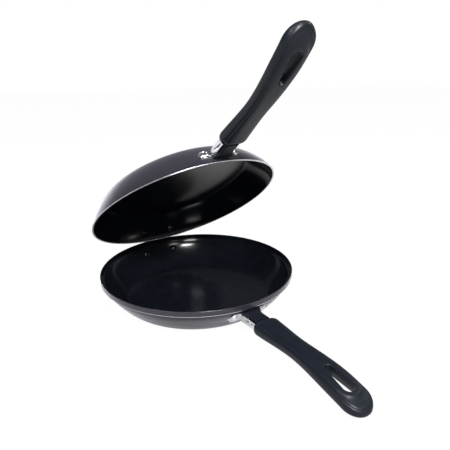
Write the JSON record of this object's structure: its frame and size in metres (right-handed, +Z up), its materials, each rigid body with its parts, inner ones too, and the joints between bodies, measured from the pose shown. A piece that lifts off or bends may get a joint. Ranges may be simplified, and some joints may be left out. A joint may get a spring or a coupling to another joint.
{
  "type": "double sided flip pan",
  "caption": "Two shallow round frying pans joined by a pin hinge at the back, each with a riveted bracket and a moulded handle with a hanging slot.",
  "frame": {"origin": "centre of the lower pan's flat base, on the surface that it stands on", "axes": "+Z up, the handles point along -Y, the hinge is at +Y with its pin along X"},
  "size_m": [0.24, 0.4114, 0.3045],
  "materials": {
    "pan_metal": "satin grey outside with a turned base, smooth near-black non-stick coating inside",
    "bracket_chrome": "bright plated sheet steel",
    "fastener_steel": "bright polished steel",
    "grip_moulding": "matt blue-black moulded thermoset"
  },
  "bodies": {
    "lower": {"lower_pan": "pan_metal", "lower_handle_bracket": "bracket_chrome", "lower_grip": "grip_moulding", "lower_handle_screw": "fastener_steel", "lower_handle_nut": "fastener_steel", "lower_handle_rivet_left": "fastener_steel", "lower_handle_rivet_right": "fastener_steel", "lower_hinge_bracket": "bracket_chrome", "lower_hinge_rivet_left": "fastener_steel", "lower_hinge_rivet_right": "fastener_steel", "hinge_pin": "fastener_steel", "hinge_washer_left": "fastener_steel", "hinge_washer_right": "fastener_steel"},
    "upper": {"upper_pan": "pan_metal", "upper_handle_bracket": "bracket_chrome", "upper_grip": "grip_moulding", "upper_handle_screw": "fastener_steel", "upper_handle_nut": "fastener_steel", "upper_handle_rivet_left": "fastener_steel", "upper_handle_rivet_right": "fastener_steel", "upper_hinge_bracket": "bracket_chrome", "upper_hinge_rivet_left": "fastener_steel", "upper_hinge_rivet_right": "fastener_steel"}
  },
  "joints": [
    {"name": "pan_hinge", "type": "hinge", "parent": "lower", "child": "upper", "pos_m": [0, 0.1242, 0.0385], "axis": [-1, 0, 0], "range_deg": [-37.5, 142.5]}
  ]
}
